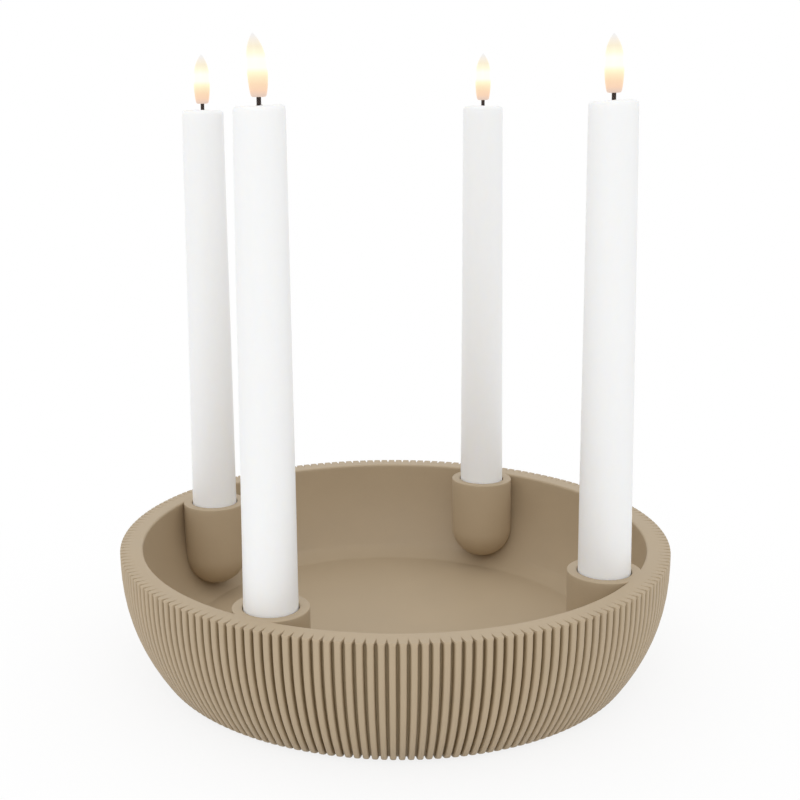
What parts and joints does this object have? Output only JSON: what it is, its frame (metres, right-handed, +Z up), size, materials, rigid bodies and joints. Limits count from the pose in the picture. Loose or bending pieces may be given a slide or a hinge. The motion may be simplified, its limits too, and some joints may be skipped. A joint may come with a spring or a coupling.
{
  "type": "advent candle holder",
  "caption": "Round ribbed stoneware advent bowl with candle cups on its inner wall, holding battery taper candles that lift out, with twist-off base caps and slide switches.",
  "frame": {"origin": "on the table under the bowl's centre", "axes": "+Z up along the candles; the four cups stand on the X and Y axes"},
  "size_m": [0.2512, 0.2512, 0.2795],
  "materials": {
    "stoneware": "matt slip, unglazed, fine grain",
    "felt": "felt",
    "wax": "satin wax",
    "white_plastic": "moulded",
    "cap_plastic": "moulded",
    "black_plastic": "moulded",
    "spring_steel": "nickel plated",
    "cell_jacket": "printed jacket, bare of words",
    "board": "solder mask",
    "lead_jacket": "insulated lead",
    "wick": "charred look",
    "lamp_lens": "clear warm lens",
    "flame_shell": "translucent, lit from inside"
  },
  "bodies": {
    "bowl": {"bowl": "stoneware", "candle_cups": "stoneware", "foot_pads": "felt"},
    "right_candle": {"right_wax_sleeve": "wax", "right_core_tube": "white_plastic", "right_batteries": "cell_jacket", "right_top_contact": "spring_steel", "right_circuit_board": "board", "right_contact_strip": "spring_steel", "right_lead_wires": "lead_jacket", "right_wick": "wick", "right_led_lamp": "lamp_lens", "right_flame": "flame_shell"},
    "right_cap": {"right_base_cap": "cap_plastic", "right_switch_housing": "black_plastic", "right_base_contact": "spring_steel"},
    "right_switch": {"right_switch_slider": "black_plastic"},
    "back_candle": {"back_wax_sleeve": "wax", "back_core_tube": "white_plastic", "back_batteries": "cell_jacket", "back_top_contact": "spring_steel", "back_circuit_board": "board", "back_contact_strip": "spring_steel", "back_lead_wires": "lead_jacket", "back_wick": "wick", "back_led_lamp": "lamp_lens", "back_flame": "flame_shell"},
    "back_cap": {"back_base_cap": "cap_plastic", "back_switch_housing": "black_plastic", "back_base_contact": "spring_steel"},
    "back_switch": {"back_switch_slider": "black_plastic"},
    "left_candle": {"left_wax_sleeve": "wax", "left_core_tube": "white_plastic", "left_batteries": "cell_jacket", "left_top_contact": "spring_steel", "left_circuit_board": "board", "left_contact_strip": "spring_steel", "left_lead_wires": "lead_jacket", "left_wick": "wick", "left_led_lamp": "lamp_lens", "left_flame": "flame_shell"},
    "left_cap": {"left_base_cap": "cap_plastic", "left_switch_housing": "black_plastic", "left_base_contact": "spring_steel"},
    "left_switch": {"left_switch_slider": "black_plastic"},
    "front_candle": {"front_wax_sleeve": "wax", "front_core_tube": "white_plastic", "front_batteries": "cell_jacket", "front_top_contact": "spring_steel", "front_circuit_board": "board", "front_contact_strip": "spring_steel", "front_lead_wires": "lead_jacket", "front_wick": "wick", "front_led_lamp": "lamp_lens", "front_flame": "flame_shell"},
    "front_cap": {"front_base_cap": "cap_plastic", "front_switch_housing": "black_plastic", "front_base_contact": "spring_steel"},
    "front_switch": {"front_switch_slider": "black_plastic"}
  },
  "joints": [
    {"name": "right_candle_lift", "type": "slide", "parent": "bowl", "child": "right_candle", "axis": [0, 0, 1], "range_m": [0, 0.04]},
    {"name": "right_cap_twist", "type": "hinge", "parent": "right_candle", "child": "right_cap", "pos_m": [0.1021, 0, 0.032], "axis": [0, 0, 1], "range_deg": [0, 40]},
    {"name": "right_switch_slide", "type": "slide", "parent": "right_cap", "child": "right_switch", "axis": [0.5299, -0.848, 0], "range_m": [0, 0.002]},
    {"name": "back_candle_lift", "type": "slide", "parent": "bowl", "child": "back_candle", "axis": [0, 0, 1], "range_m": [0, 0.04]},
    {"name": "back_cap_twist", "type": "hinge", "parent": "back_candle", "child": "back_cap", "pos_m": [0, 0.1021, 0.032], "axis": [0, 0, 1], "range_deg": [0, 40]},
    {"name": "back_switch_slide", "type": "slide", "parent": "back_cap", "child": "back_switch", "axis": [0.3746, -0.9272, 0], "range_m": [0, 0.002]},
    {"name": "left_candle_lift", "type": "slide", "parent": "bowl", "child": "left_candle", "axis": [0, 0, 1], "range_m": [0, 0.04]},
    {"name": "left_cap_twist", "type": "hinge", "parent": "left_candle", "child": "left_cap", "pos_m": [-0.1021, 0, 0.032], "axis": [0, 0, 1], "range_deg": [0, 40]},
    {"name": "left_switch_slide", "type": "slide", "parent": "left_cap", "child": "left_switch", "axis": [0.5878, -0.809, 0], "range_m": [0, 0.002]},
    {"name": "front_candle_lift", "type": "slide", "parent": "bowl", "child": "front_candle", "axis": [0, 0, 1], "range_m": [0, 0.04]},
    {"name": "front_cap_twist", "type": "hinge", "parent": "front_candle", "child": "front_cap", "pos_m": [0, -0.1021, 0.032], "axis": [0, 0, 1], "range_deg": [0, 40]},
    {"name": "front_switch_slide", "type": "slide", "parent": "front_cap", "child": "front_switch", "axis": [0.8829, 0.4695, 0], "range_m": [0, 0.002]}
  ]
}
